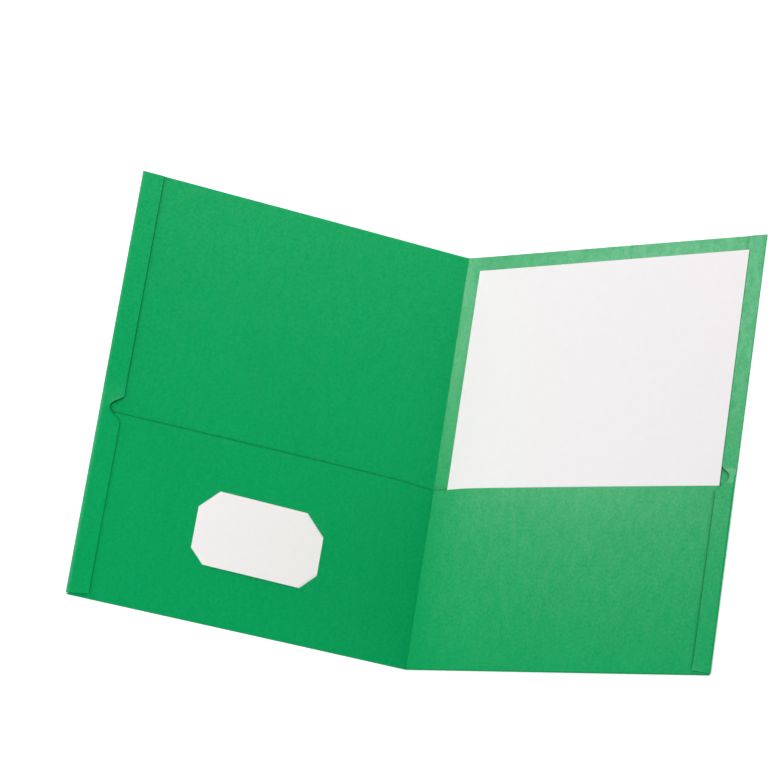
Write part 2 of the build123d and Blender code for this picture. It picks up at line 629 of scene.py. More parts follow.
@dataclass(frozen=True)
class CoverStock:
    """Green felt-finish cover stock, dyed through, with a soft sheen.

    Lumps of felt grain and stretched fibres raise the surface and vary its colour. Folds are
    rubbed a little paler, partly real wear and partly a painted highlight on the rounded folds,
    and broad clouds vary the dye. Painted shade darkens the colour and takes out the sheen along
    a hem's inner edge, in its notch, along a pocket's mouth and on each bottom fold's lower half.
    The sheen is a coat whose weight varies with the grain and with short streaks.
    """

    name: str = "green_felt_stock"
    deep: tuple = colour(0, 152, 85)
    pale: tuple = colour(2, 171, 98)
    wear_and_highlight_colour: tuple = colour(96, 190, 138)
    # Colour of the painted shade along the seams.
    painted_shade_colour: tuple = colour(0, 72, 33)
    grain: tuple = (1.8, 2.0, 1.8)
    fibre: tuple = (0.45, 2.4, 0.45)
    tooth: tuple = (0.32, 0.32, 0.32)
    streak: tuple = (4.5, 10.0, 4.5)
    cloud: tuple = (55.0, 70.0, 55.0)
    grain_share: float = 0.65
    fibre_share: float = 0.25
    tooth_share: float = 0.1
    grain_tone: float = 1.3
    cloud_tone: float = 0.35
    wear_and_highlight_tone: float = 0.9
    hem_painted_shade: float = 1.0
    mouth_painted_shade: float = 0.12
    notch_painted_shade: float = 1.0
    painted_shade_reach: float = 0.55
    notch_shade_reach: float = 1.1
    notch_past: float = 0.3
    lean_slope: float = 0.08
    lean_middle: float = 0.75
    lean_least: float = 0.3
    roughness: float = 0.31
    roughness_spread: float = 0.1
    relief: float = 0.0001
    relief_strength: float = 0.8
    gloss: float = 0.04
    coat: float = 0.48
    coat_spread: float = 1.8
    streak_spread: float = 1.1

    def painted_shade(self, graph: Graph) -> Field:
        """How deep a point lies in the painted shade along a seam, dying away beside it.

        The painted shade along the hem is straight above and below the notch. In the notch it
        follows the outline: the distance to a flank's line, or to the round within the round's
        sector. The upper flank overhangs, so the painted shade is deepest there and fades towards
        the lower flank.

        Args:
            graph: the finish's graph.

        Returns:
            The depth, from 0 to 1.
        """
        hem, mouth, notch = graph.split(graph.mark("seam_place", "Vector"))
        away = graph.maths("ABSOLUTE", notch, 0.0)
        clear = graph.maths("GREATER_THAN", away, NOTCH.height / 2)
        along_hem = graph.fading(hem, self.painted_shade_reach) * clear * self.hem_painted_shade
        touch = NOTCH.touch
        past = -NOTCH.centre - hem
        flank = past * math.cos(touch) + away * math.sin(touch) - NOTCH.radius
        bow = graph.maths("SQRT", past * past + notch * notch, 0.0) - NOTCH.radius
        sector = graph.maths("GREATER_THAN", past * math.sin(touch), away * math.cos(touch))
        gap = flank + sector * (bow - flank)
        lean = notch * self.lean_slope + self.lean_middle
        lean = graph.maths("MINIMUM", graph.maths("MAXIMUM", lean, self.lean_least), 1.0)
        inside = graph.maths("LESS_THAN", hem, self.notch_past)
        in_notch = graph.fading(gap, self.notch_shade_reach) * lean * inside * (1.0 - clear) * self.notch_painted_shade
        along_mouth = graph.fading(mouth, self.painted_shade_reach) * self.mouth_painted_shade
        return graph.maths("MAXIMUM", graph.maths("MAXIMUM", along_hem, in_notch), along_mouth)

    def material(self) -> bpy.types.Material:
        """Builds the finish.

        Returns:
            The finish's material.
        """
        material, graph = Graph.of_material(self.name)
        where = graph.where()
        grain = graph.noise(where, self.grain, detail=1.0)
        fibre = graph.noise(where, self.fibre, detail=3.0, rough=0.6)
        tooth = graph.noise(where, self.tooth, detail=1.0)
        streak = graph.noise(where, self.streak, detail=1.0)
        cloud = graph.noise(where, self.cloud, detail=2.0)
        felt = grain * self.grain_share + fibre * self.fibre_share + tooth * self.tooth_share
        tone = (felt - 0.5) * self.grain_tone + (cloud - 0.5) * self.cloud_tone + 0.5
        dyed = graph.mix(tone, self.deep, self.pale)
        fold = graph.mark("fold_wear_and_highlight", "Fac")
        # Paler folds: partly real wear and partly a painted highlight on the rounded folds.
        wear_and_highlight_colour = graph.mix(fold * felt * self.wear_and_highlight_tone, dyed, self.wear_and_highlight_colour)
        # Painted shade: the colour is mixed towards the shade colour and the coat's sheen is taken out
        # along the seams.
        painted_shade = self.painted_shade(graph)
        patches = (felt - 0.5) * self.coat_spread + (streak - 0.5) * self.streak_spread + 1.0
        sockets = {
            "Base Color": graph.mix(painted_shade, wear_and_highlight_colour, self.painted_shade_colour),
            "Roughness": (felt - 0.5) * self.roughness_spread + self.roughness,
            "Normal": graph.relief(felt, self.relief, self.relief_strength),
            "Specular IOR Level": self.gloss,
            "Coat Weight": patches * (1.0 - painted_shade) * self.coat,
            "Coat Roughness": self.roughness,
        }
        graph.surface(sockets)
        return material


@dataclass(frozen=True)
class WhiteBoard:
    """White card or paper: faint clouds of fibre, a fine tooth and no sheen to speak of."""

    name: str
    bright: tuple
    dull: tuple
    cloud: tuple
    tooth: tuple
    relief: float
    roughness: float
    gloss: float = 0.3
    relief_strength: float = 0.3
    roughness_spread: float = 0.1
    cloud_share: float = 0.65

    def material(self) -> bpy.types.Material:
        """Builds the finish.

        Returns:
            The finish's material.
        """
        material, graph = Graph.of_material(self.name)
        where = graph.where()
        cloud = graph.noise(where, self.cloud, detail=3.0)
        tooth = graph.noise(where, self.tooth, detail=2.0)
        formation = cloud * self.cloud_share + tooth * (1.0 - self.cloud_share)
        sockets = {
            "Base Color": graph.mix(formation, self.bright, self.dull),
            "Roughness": (tooth - 0.5) * self.roughness_spread + self.roughness,
            "Normal": graph.relief(tooth, self.relief, self.relief_strength),
            "Specular IOR Level": self.gloss,
        }
        graph.surface(sockets)
        return material


@dataclass(frozen=True)
class DriedGlue:
    """A dried film of pale glue, smooth and a little uneven in colour."""

    name: str = "dried_glue"
    clear: tuple = colour(226, 220, 196)
    thick: tuple = colour(203, 192, 158)
    streak: tuple = (3.0, 14.0, 3.0)
    roughness: float = 0.32
    roughness_spread: float = 0.15
    relief: float = 0.00002
    relief_strength: float = 0.4

    def material(self) -> bpy.types.Material:
        """Builds the finish.

        Returns:
            The finish's material.
        """
        material, graph = Graph.of_material(self.name)
        where = graph.where()
        streak = graph.noise(where, self.streak, detail=2.0)
        sockets = {
            "Base Color": graph.mix(streak, self.clear, self.thick),
            "Roughness": streak * self.roughness_spread + self.roughness,
            "Normal": graph.relief(streak, self.relief, self.relief_strength),
        }
        graph.surface(sockets)
        return material


Finish = Union[CoverStock, WhiteBoard, DriedGlue]
# The back panel's copy paints deeper and wider shade along its seams, where the sheen is strongest.
STOCKS = {
    Side.FRONT: CoverStock(),
    Side.BACK: CoverStock(
        name="green_felt_stock_in_sheen",
        hem_painted_shade=0.75,
        mouth_painted_shade=0.6,
        painted_shade_reach=0.9,
        notch_shade_reach=1.6,
    ),
}
CUT_STOCK = CoverStock(
    name="cut_edge_of_stock",
    deep=colour(10, 140, 74),
    pale=colour(52, 172, 112),
    grain=(0.4, 0.4, 0.12),
    roughness=0.75,
    gloss=0.2,
    coat=0.0,
)
CARD_BOARD = WhiteBoard(
    name="card_board",
    bright=colour(252, 248, 247),
    dull=colour(246, 242, 241),
    cloud=(4.0, 4.0, 4.0),
    tooth=(0.25, 0.25, 0.25),
    relief=0.00002,
    roughness=0.55,
)
CARD_EDGE = WhiteBoard(
    name="cut_edge_of_card",
    bright=colour(248, 246, 244),
    dull=colour(236, 234, 231),
    cloud=(0.6, 0.6, 0.1),
    tooth=(0.12, 0.12, 0.08),
    relief=0.00003,
    roughness=0.8,
)
WRITING_PAPER = WhiteBoard(
    name="writing_paper",
    bright=colour(245, 240, 242),
    dull=colour(239, 234, 236),
    cloud=(6.0, 6.0, 6.0),
    tooth=(0.35, 0.35, 0.35),
    relief=0.00002,
    roughness=0.7,
)
PAPER_EDGE = WhiteBoard(
    name="cut_edge_of_paper",
    bright=colour(244, 241, 240),
    dull=colour(228, 224, 222),
    cloud=(0.5, 0.5, 0.1),
    tooth=(0.1, 0.1, 0.06),
    relief=0.00002,
    roughness=0.85,
)
GLUE = DriedGlue()


class Finishes:
    """One material for each finish, made when it is first asked for."""

    def __init__(self) -> None:
        """Starts with no materials."""
        self.made: dict[str, bpy.types.Material] = {}

    def of(self, finish: Finish) -> bpy.types.Material:
        """The material of a finish.

        Args:
            finish: one of the finishes above.

        Returns:
            Its one material.
        """
        if finish.name not in self.made:
            self.made[finish.name] = finish.material()
        return self.made[finish.name]

    def dress(self, piece: bpy.types.Object, face: Finish, edge: Finish) -> None:
        """Gives a new piece its face and cut-edge finishes.

        Args:
            piece: a sheet object.
            face: the finish of both faces.
            edge: the finish of the cut edges.
        """
        piece.data.materials.append(self.of(face))
        piece.data.materials.append(self.of(edge))
        log.info("%s: %d faces", piece.name, len(piece.data.polygons))


@dataclass(frozen=True)
class HemSet:
    """How one hem lies, in millimetres but for the ripple and the fold's rub and highlight, which are
    shares.

    It is set narrower, runs down off the flap along a ramp, curls up along its edge with a
    ripple, is rubbed paler along its fold, partly real wear and partly a painted highlight, and
    the painted shade lines beside its edge are shifted on the cover and on the flap.
    """

    narrower: float
    ramp_length: float
    lower_curl: float
    upper_curl: float
    ripple: float
    fold_rub_and_highlight: float
    # How far the painted shade lines beside the hem's edge are shifted, on the cover and on the flap.
    cover_shade_shift: float
    flap_shade_shift: float
    ramp_gap: float = 0.6


HEM_SETS = {
    Side.FRONT: HemSet(
        narrower=0.0,
        ramp_length=23.0,
        lower_curl=0.28,
        upper_curl=0.28,
        ripple=0.4,
        fold_rub_and_highlight=0.6,
        cover_shade_shift=0.18,
        flap_shade_shift=-0.05,
    ),
    Side.BACK: HemSet(
        narrower=1.7,
        ramp_length=11.5,
        lower_curl=0.04,
        upper_curl=0.05,
        ripple=0.15,
        fold_rub_and_highlight=0.1,
        cover_shade_shift=-0.1,
        flap_shade_shift=0.4,
    ),
}


def hem_line(folder: Folder, side: Side) -> float:
    """Distance of a hem's inner edge from the spine."""
    return folder.hem_edge + HEM_SETS[side].narrower


@dataclass(frozen=True)
class CoverSheet:
    """The two covers and the bend that joins them along the spine."""

    folder: Folder
    stiffness: Stiffness
    mouths: MouthLine
    front_rise: float = 0.45
    front_reach: float = 2.5
    back_rise: float = 0.5
    back_reach: float = 10.0
    columns: int = 71
    rows: int = 61
    bend_steps: int = 13

    @property
    def up(self) -> Array:
        """Heights of the rows of points, from the bottom fold to the top edge, as a column."""
        span = self.folder.height - self.folder.fold_radius
        return (self.folder.fold_radius + span * eased(self.rows))[:, None]

    def rise(self, side: Side, u: Number) -> Number:
        """Rise of a cover into the rounded bend, dying away from the spine as an exponential.

        Args:
            side: which cover.
            u: distance from the spine.

        Returns:
            The rise above the cover's own level.
        """
        if side is Side.FRONT:
            return self.front_rise * np.exp(-u / self.front_reach)
        return self.back_rise * np.exp(-u / self.back_reach)

    def bend_rise(self, steps: int) -> Array:
        """Rise round the bend, from the back cover's to the front cover's in even steps."""
        return np.linspace(self.back_rise, self.front_rise, steps)

    def panel(self, side: Side) -> bpy.types.Object:
        """One cover: a flat grid, bowed a little and rounded into the bend.

        Args:
            side: which cover.

        Returns:
            The cover, without its finish.
        """
        folder = self.folder
        u, v = off_spine(folder.panel_end, self.columns), self.up
        level = self.rise(side, u) + self.stiffness.bow(folder, side, u)
        under, over = folder.faces(side, u, v, level, folder.stock)
        quads = plain_grid(self.rows, self.columns)
        # Places the painted shade lines along the hem, in the notch and along the mouth on the cover's
        # inside face.
        marks = stock_marks(
            (self.rows, self.columns),
            hem=hem_line(folder, side) - HEM_SETS[side].cover_shade_shift - u,
            mouth=v - self.mouths.shade_line_height(side, u),
            notch=v - NOTCH.middle(folder),
        )
        return sheet_object(side.value + "_cover_panel", under, over, quads, marks)

    def bend(self) -> bpy.types.Object:
        """The cover's bend along the spine: an arc about the crease line, carried up it.

        Returns:
            The bend, without its finish.
        """
        folder, v = self.folder, self.up
        turned = (folder.raised * np.linspace(0.0, 1.0, self.bend_steps))[None, :]
        reach = folder.crease_level - self.bend_rise(self.bend_steps)[None, :]
        under = folder.around_spine(turned, reach, v)
        over = folder.around_spine(turned, reach - folder.stock, v)
        shape = (self.rows, self.bend_steps)
        # Places the mouth's painted shade line on the bend's inside face.
        marks = stock_marks(shape, mouth=v - self.mouths.shade_line_height(Side.BACK, 0.0))
        return sheet_object("spine_bend", under, over, plain_grid(*shape), marks)

    def build(self, finishes: Finishes) -> None:
        """Builds both covers and the bend and dresses them, and seats the covers on their bodies.

        Args:
            finishes: the materials.
        """
        for side in Side:
            cover = self.panel(side)
            finishes.dress(cover, STOCKS[side], CUT_STOCK)
            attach(cover, side.value)
            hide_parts(side.value + "_cover")
        bend = self.bend()
        finishes.dress(bend, STOCKS[Side.FRONT], CUT_STOCK)
        start, end = self.folder.chord(self.folder.crease_level - self.folder.stock)
        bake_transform(bend)
        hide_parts("spine_crease")


@dataclass(frozen=True)
class CardPlace:
    """Where the card sits on the front flap, and the four slits that hold its corners."""

    from_spine: float = 117.2
    from_bottom: float = 62.15
    width: float = 88.9
    height: float = 50.8
    leg: float = 11.7
    shift: float = -0.4
    lift: float = 1.55
    turn: float = math.radians(0.7)
    end_gap: float = 0.6

    @property
    def corners(self) -> Array:
        """Signs of the four corners, in turn round the card."""
        return np.array(((1.0, -1.0), (1.0, 1.0), (-1.0, 1.0), (-1.0, -1.0)))

    @property
    def slit_middles(self) -> Array:
        """Middle of each slit, in panel coordinates."""
        half = np.array((self.width - self.leg, self.height - self.leg)) / 2
        return np.array((self.from_spine, self.from_bottom)) + self.corners * half

    @property
    def outwards(self) -> Array:
        """Unit direction from each slit out towards its corner."""
        return self.corners / math.sqrt(2.0)

    @property
    def along(self) -> Array:
        """Unit direction along each slit, in turn round the card."""
        return np.stack((-self.outwards[:, 1], self.outwards[:, 0]), axis=-1)

    def from_card(self, a: Number, b: Number) -> tuple[Array, Array]:
        """Panel coordinates of points given from the card's middle: a turn, then a shift.

        Args:
            a: distance across the card.
            b: distance up the card.

        Returns:
            Distances from the spine and heights above the bottom fold.
        """
        cosine, sine = math.cos(self.turn), math.sin(self.turn)
        u = self.from_spine + self.shift + a * cosine - b * sine
        v = self.from_bottom + self.lift + a * sine + b * cosine
        return u, v

    def from_slits(self, u: Number, v: Number, ways: Array) -> Array:
        """Distance of points from each slit's middle along its way, slits as the last axis."""
        offset = np.stack((u, v), axis=-1)[..., None, :] - self.slit_middles
        return np.einsum("...kc,kc->...k", offset, ways)

    def slit_ends(self) -> Array:
        """Both ends of each slit, as distances along it: the card's chord and a gap past it.

        A chord ends on the card's two sides that meet at that corner. Going round the card,
        it starts on one and ends on the other.

        Returns:
            Start and end for each of the four slits.
        """
        cosine, sine = math.cos(self.turn), math.sin(self.turn)
        across, up = np.array((cosine, sine)), np.array((-sine, cosine))
        middle = np.array((self.from_spine + self.shift, self.from_bottom + self.lift))
        offset = self.slit_middles - middle
        half = np.array((self.width, self.height)) / 2
        reach_across = self.corners[:, 0] * half[0] - offset @ across
        reach_up = self.corners[:, 1] * half[1] - offset @ up
        crossings = np.stack((reach_across / (self.along @ across), reach_up / (self.along @ up)))
        return np.stack((crossings.min(0) - self.end_gap, crossings.max(0) + self.end_gap), axis=-1)


@dataclass(frozen=True)
class PocketSheet:
    """The two flaps, the bend between them and the bottom folds that carry them."""

    folder: Folder
    stiffness: Stiffness
    card: CardPlace
    mouths: MouthLine
    front_score: float = 0.03
    back_score: float = 0.15
    score_reach: float = 0.35
    back_sink: float = 0.12
    sink_reach: float = 5.0
    sink_fade: float = 40.0
    mouth_bow: float = 0.3
    bow_from: float = 60.0
    lip_rise: float = 0.36
    lip_reach: float = 3.0
    lip_gap: float = 0.08
    lip_power: int = 14
    bend_wear: float = 0.2
    fold_shade_angle: float = -0.6
    shade_foot: float = 2.5
    columns: int = 71
    rows: int = 41
    ring_steps: int = 17
    bend_steps: int = 9
    slit_steps: int = 16
    long_steps: int = 36
    short_steps: int = 14
    inner_rows: int = 22
    outer_rows: int = 44
    inner_start: float = 0.02

    def score(self, side: Side, u: Number) -> Number:
        """Depth of a flap in the score along the crease, dying away as an exponential.

        The back flap also sinks a little beside the crease and comes slowly back up.

        Args:
            side: which flap.
            u: distance from the spine.

        Returns:
            The depth below the flap's own level.
        """
        near = np.exp(-u / self.score_reach)
        if side is Side.FRONT:
            return self.front_score * near
        sink = (1.0 - np.exp(-u / self.sink_reach)) * np.exp(-u / self.sink_fade)
        return self.back_score * near + self.back_sink * sink

    def level(self, side: Side, u: Number, v: Number) -> Number:
        """Level of a flap's under face.

        The flap follows its panel's bow, and its mouth stands a little open between the spine
        and the hem, as half a sine wave that grows towards the mouth.

        Args:
            side: which flap.
            u: distance from the spine.
            v: height above the bottom fold.

        Returns:
            The level above the panel's outside face.
        """
        folder = self.folder
        across = np.sin(np.pi * np.clip(u / folder.hem_edge, 0.0, 1.0))
        open_mouth = self.mouth_bow * across * smooth_step(self.bow_from, folder.mouth_height, v)
        bow = self.stiffness.bow(folder, side, u)
        return folder.pocket_level - self.score(side, u) + bow + open_mouth

    def back_flap(self) -> bpy.types.Object:
        """The back flap: a grid from the bottom fold to the sloping mouth.

        Returns:
            The flap, without its finish.
        """
        folder, side = self.folder, Side.BACK
        u = off_spine(folder.panel_end, self.columns)
        rise = self.mouths.height(side, u) - folder.fold_radius
        v = folder.fold_radius + rise * eased(self.rows)[:, None]
        under, over = folder.faces(side, u, v, self.level(side, u, v), folder.stock)
        quads = plain_grid(self.rows, self.columns)
        return sheet_object("back_pocket_flap", under, over, quads, self.flap_marks(side, u, v))

    def flap_marks(self, side: Side, u: Array, v: Array) -> dict[str, Array]:
        """A flap's marks, which place the hem's painted shade line on it, down to the hem's foot.

        Args:
            side: which flap.
            u: distances from the spine.
            v: heights above the bottom fold.

        Returns:
            Values by name, for sheet_object.
        """
        # No painted shade below the hem's foot.
        past_foot = np.where(v < self.folder.fold_radius + self.shade_foot, FAR_OFF, 0.0)
        hem = hem_line(self.folder, side) - HEM_SETS[side].flap_shade_shift - u + past_foot
        notch = v - NOTCH.middle(self.folder)
        return stock_marks(np.broadcast_shapes(u.shape, v.shape), hem=hem, notch=notch)

    def slit_ring(self) -> tuple[Array, Array, Array]:
        """Points round the card's eight-sided place, with the flap's outline outside them.

        Slits take the slanted sides and straight lines join their ends. The outline's point
        for a slit's middle is the flap's corner, and for its ends the nearest point of a side.

        Returns:
            The ring's points, the outline's points, and for each point its share along a
            slit from -1 to 1, or 1 on the straight sides.
        """
        folder, card = self.folder, self.card
        ends = card.slit_ends()
        shares = np.linspace(-1.0, 1.0, self.slit_steps, endpoint=False)
        span = np.mean(ends, axis=1)[:, None] + np.diff(ends, axis=1) / 2 * shares
        slits = card.slit_middles[:, None] + span[..., None] * card.along[:, None]
        first = card.slit_middles + ends[:, :1] * card.along
        last = card.slit_middles + ends[:, 1:] * card.along
        left, right, bottom = SPINE_GAP, folder.panel_end, folder.fold_radius
        mouths = [float(self.mouths.straight(Side.FRONT, u)) for u in (left, right)]
        flap_corners = np.array(((right, bottom), (right, mouths[1]), (left, mouths[0]), (left, bottom)))
        ring, outline, along = [], [], []
        for turn in range(4):
            straight = self.short_steps if turn in (0, 2) else self.long_steps
            after = (turn + 1) % 4
            steps = np.linspace(0.0, 1.0, straight, endpoint=False)[:, None]
            ring += [slits[turn], last[turn] + steps * (first[after] - last[turn])]
            side_first = self.on_outline(first[turn], turn - 1)
            side_last = self.on_outline(last[turn], turn)
            side_after = self.on_outline(first[after], turn)
            corner = flap_corners[turn]
            half = np.linspace(0.0, 1.0, self.slit_steps // 2, endpoint=False)[:, None]
            outline += [side_first + half * (corner - side_first), corner + half * (side_last - corner)]
            outline += [side_last + steps * (side_after - side_last)]
            along += [shares, np.ones(straight)]
        return np.concatenate(ring), np.concatenate(outline), np.concatenate(along)

    def on_outline(self, point: Array, turn: int) -> Array:
        """The point of the front flap's side after a corner, level with a point of the ring.

        Args:
            point: a point of the ring.
            turn: 0 for the edge side, 1 for the mouth, 2 for the spine side, 3 or -1 for the foot.

        Returns:
            The point of the outline.
        """
        if turn == 0:
            return np.array((self.folder.panel_end, point[1]))
        if turn == 1:
            return np.array((point[0], float(self.mouths.straight(Side.FRONT, point[0]))))
        if turn == 2:
            return np.array((SPINE_GAP, point[1]))
        return np.array((point[0], self.folder.fold_radius))

    def front_flap(self) -> bpy.types.Object:
        """The front flap, cut by four slits whose lips stand apart round the card.

        One grid runs round the card's place: rows go from its middle out to the slits, then
        on to the flap's outline. The row at the slits is there twice and is one along the
        straight sides, so the slits are real cuts. Inside them the flap dips under the card,
        and outside them it rises over the card's corners, dying away as an exponential.

        Returns:
            The flap, without its finish.
        """
        folder, side, card = self.folder, Side.FRONT, self.card
        ring, outline, share = self.slit_ring()
        middle = np.array((card.from_spine, card.from_bottom))
        opening = 1.0 - np.abs(share) ** self.lip_power
        out = (ring - middle) / np.linalg.norm(ring - middle, axis=1)[:, None]
        inner_edge = ring - out * (opening * self.lip_gap)[:, None]
        outer_edge = ring + out * (opening * self.lip_gap)[:, None]
        inwards = np.linspace(self.inner_start, 1.0, self.inner_rows)[:, None, None]
        outwards = eased(self.outer_rows)[:, None, None]
        inner = middle + inwards * (inner_edge - middle)
        outer = outer_edge + outwards * (outline - outer_edge)
        points = np.concatenate((inner, outer))
        u, v = points[..., 0], points[..., 1]
        v = v - self.mouths.dip(u) * v / folder.mouth_height
        ends = card.slit_ends()
        along = card.from_slits(u, v, card.along) - ends.mean(axis=1)
        within = np.clip(np.abs(along) / (np.diff(ends, axis=1)[:, 0] / 2), 0.0, 1.0)
        fade = np.exp(-np.abs(card.from_slits(u, v, card.outwards)) / self.lip_reach)
        lip = self.lip_rise * ((1.0 - within**self.lip_power) * fade).max(axis=-1)
        lip[: self.inner_rows] *= -1.0
        level = self.level(side, u, v) + lip
        rows, columns = u.shape
        index = np.arange(rows * columns).reshape(rows, columns)
        joined = opening <= 0.0
        index[self.inner_rows, joined] = index[self.inner_rows - 1, joined]
        around = np.concatenate((index, index[:, :1]), axis=1)
        half = columns // 2
        core = np.arange(half - 1)
        plug = np.stack((core, core + 1, columns - 2 - core, columns - 1 - core), axis=-1)[:, ::-1]
        inner_quads = lattice(around[: self.inner_rows])
        outer_quads = lattice(around[self.inner_rows :])
        quads = np.concatenate((plug, inner_quads, outer_quads))
        under, over = folder.faces(side, u, v, level, folder.stock)
        return sheet_object("front_pocket_flap", under, over, quads, self.flap_marks(side, u, v))

    def ring(self) -> tuple[Array, Array, Array]:
        """Half a ring, from the cover round to the flap: its sines, cosines and angles."""
        angle = np.linspace(-np.pi / 2, np.pi / 2, self.ring_steps)
        return np.sin(angle), np.cos(angle), angle

    def bottom_fold(self, side: Side, cover: CoverSheet) -> bpy.types.Object:
        """A bottom fold: the half ring carried from the spine to the open edge.

        Beside the crease it rises with the cover and sinks with the flap. Its lower half gets
        painted shade, for the nip between the fold and what the folder lies on.

        Args:
            side: which panel.
            cover: the covers, for their rise beside the crease.

        Returns:
            The fold, without its finish.
        """
        folder, radius = self.folder, self.folder.fold_radius
        sine, cosine, angle = self.ring()
        u = off_spine(folder.bottom_end, self.columns)
        share = ((1.0 + sine) / 2)[:, None]
        rise = cover.rise(side, u) * (1.0 - share) - self.score(side, u) * share
        rise = rise + self.stiffness.bow(folder, side, u)
        faces = []
        for reach in (radius - folder.stock, radius):
            v = (radius - reach * cosine)[:, None]
            faces.append(folder.place(side, u, v, (radius + reach * sine)[:, None] + rise))
        shape = (self.ring_steps, self.columns)
        # Painted shade peaks at this angle on the ring's lower half and fades away on both sides.
        marks = stock_marks(shape, mouth=(radius * (angle - self.fold_shade_angle))[:, None])
        name = side.value + "_bottom_fold_strip"
        return sheet_object(name, faces[0], faces[1], plain_grid(*shape), marks)

    def bend(self, cover: CoverSheet) -> bpy.types.Object:
        """The flaps' bend along the spine, with the bottom fold's bend at its foot.

        The section up the spine is the half ring and then the straight flap, sunk by the score.
        It turns about the crease line.

        Args:
            cover: the covers, for their rise into the bend.

        Returns:
            The bend, without its finish.
        """
        folder, radius = self.folder, self.folder.fold_radius
        sine, cosine, _ = self.ring()
        top = float(self.mouths.height(Side.BACK, 0.0))
        straight = radius + (top - radius) * eased(self.rows)[1:]
        turned = (folder.raised * np.linspace(0.0, 1.0, self.bend_steps))[None, :]
        share = np.concatenate(((1.0 + sine) / 2, np.ones(len(straight))))[:, None]
        depth = share * np.linspace(self.back_score, self.front_score, self.bend_steps)
        depth = depth - (1.0 - share) * cover.bend_rise(self.bend_steps)
        faces = []
        for reach, flat in ((radius - folder.stock, folder.pocket_level), (radius, folder.pocket_top)):
            v = np.concatenate((radius - reach * cosine, straight))
            w = np.concatenate((radius + reach * sine, np.full(len(straight), flat)))
            off_axis = (folder.crease_level - w)[:, None] + depth
            faces.append(folder.around_spine(turned, off_axis, v[:, None]))
        shape = (self.ring_steps + len(straight), self.bend_steps)
        marks = stock_marks(shape, self.bend_wear)
        return sheet_object("pocket_bend", faces[0], faces[1], plain_grid(*shape), marks)

    def build(self, finishes: Finishes, cover: CoverSheet) -> None:
        """Builds the flaps, folds and bend and dresses them, and seats the flaps and folds on their bodies.

        Args:
            finishes: the materials.
            cover: the covers, for their rise into the bend.
        """
        flaps = {Side.FRONT: self.front_flap(), Side.BACK: self.back_flap()}
        for side, flap in flaps.items():
            finishes.dress(flap, STOCKS[side], CUT_STOCK)
            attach(flap, side.value)
            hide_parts(side.value + "_pocket")
            fold = self.bottom_fold(side, cover)
            finishes.dress(fold, STOCKS[side], CUT_STOCK)
            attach(fold, side.value)
            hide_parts(side.value + "_bottom_fold")
        bend = self.bend(cover)
        finishes.dress(bend, STOCKS[Side.FRONT], CUT_STOCK)
        start, end = self.folder.chord(self.folder.stock)
        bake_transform(bend)
        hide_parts("pocket_crease")


